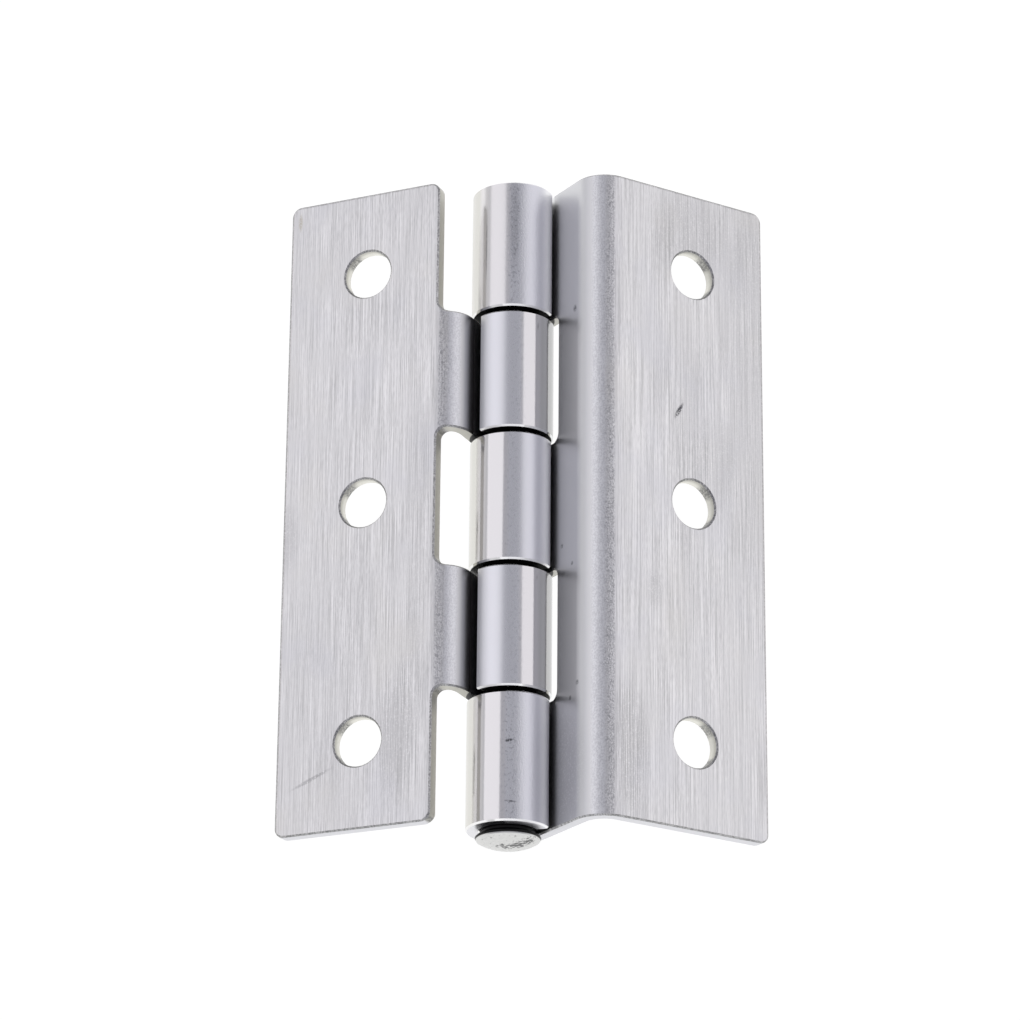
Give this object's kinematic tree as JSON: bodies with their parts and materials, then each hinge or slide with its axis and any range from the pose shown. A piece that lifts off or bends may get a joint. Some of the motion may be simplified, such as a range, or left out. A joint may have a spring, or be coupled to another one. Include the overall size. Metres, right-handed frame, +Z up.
{
  "type": "cranked hinge",
  "caption": "Stainless steel cranked hinge: a flat screw leaf and a leaf stepped by a tall bent web, rolled into interleaved knuckles that turn on one headed pin.",
  "frame": {"origin": "under the middle of the part's bounding box, on the surface it stands on", "axes": "+Y along the pin away from its head, +X from the flat leaf towards the cranked leaf, +Z up from the table"},
  "size_m": [0.0429, 0.0618, 0.0094],
  "materials": {
    "leaf_steel": "brushed along the pin",
    "pin_steel": "satin, lightly stained"
  },
  "bodies": {
    "flat_leaf": {"flat_leaf": "leaf_steel"},
    "cranked_leaf": {"cranked_leaf": "leaf_steel", "hinge_pin": "pin_steel"}
  },
  "joints": [
    {"name": "leaf_hinge", "type": "hinge", "parent": "flat_leaf", "child": "cranked_leaf", "pos_m": [-0.00121, 0.0007, 0.00388], "axis": [0, 1, 0], "range_deg": [-110, 160]}
  ]
}
